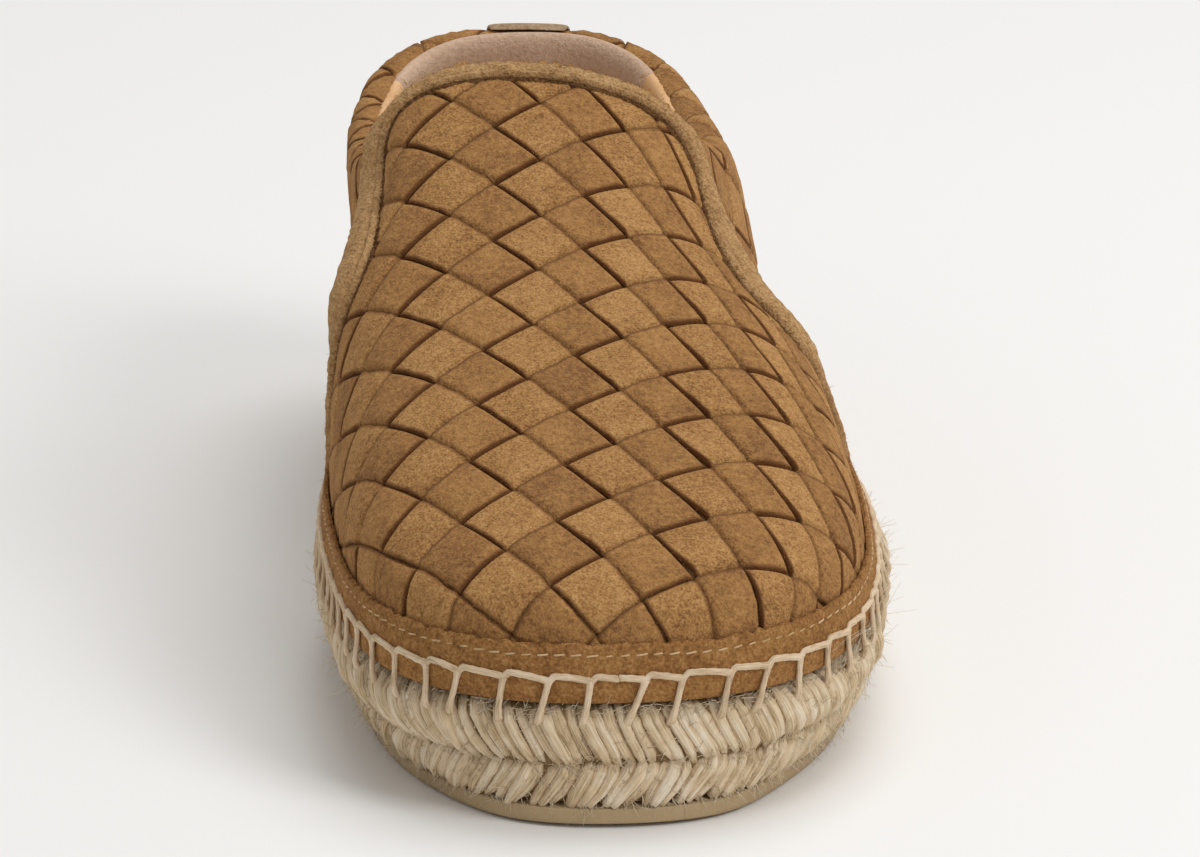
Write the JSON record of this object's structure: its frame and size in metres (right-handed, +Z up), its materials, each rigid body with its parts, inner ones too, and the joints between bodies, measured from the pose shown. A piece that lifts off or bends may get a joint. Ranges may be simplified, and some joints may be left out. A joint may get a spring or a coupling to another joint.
{
  "type": "slip-on espadrille shoe",
  "caption": "Closed slip-on espadrille, left shoe: hollow woven suede upper with a bound throat, open collar, braided jute midsole and a thin rubber outsole, standing empty.",
  "frame": {"origin": "on the floor, under the middle of the shoe's length and on its length axis", "axes": "+X towards the outer side of the left foot, +Y from toe to heel, +Z up"},
  "size_m": [0.1099, 0.2876, 0.1077],
  "materials": {
    "rubber": "smooth matt moulded sheet, khaki",
    "jute": "natural plaited jute with loose fibres",
    "woven_suede": "tan suede strips, napped, raw dark edges",
    "suede_band": "tan suede, raw edge",
    "napped_binding": "pale napped suede",
    "heel_strap": "grey-brown suede",
    "sock_leather": "smooth lining leather"
  },
  "bodies": {
    "root": {"outsole": "rubber", "jute_sole": "jute", "upper": "woven_suede", "foxing_band": "suede_band", "vamp_binding": "napped_binding", "heel_tab": "heel_strap", "insole": "sock_leather"}
  },
  "joints": []
}
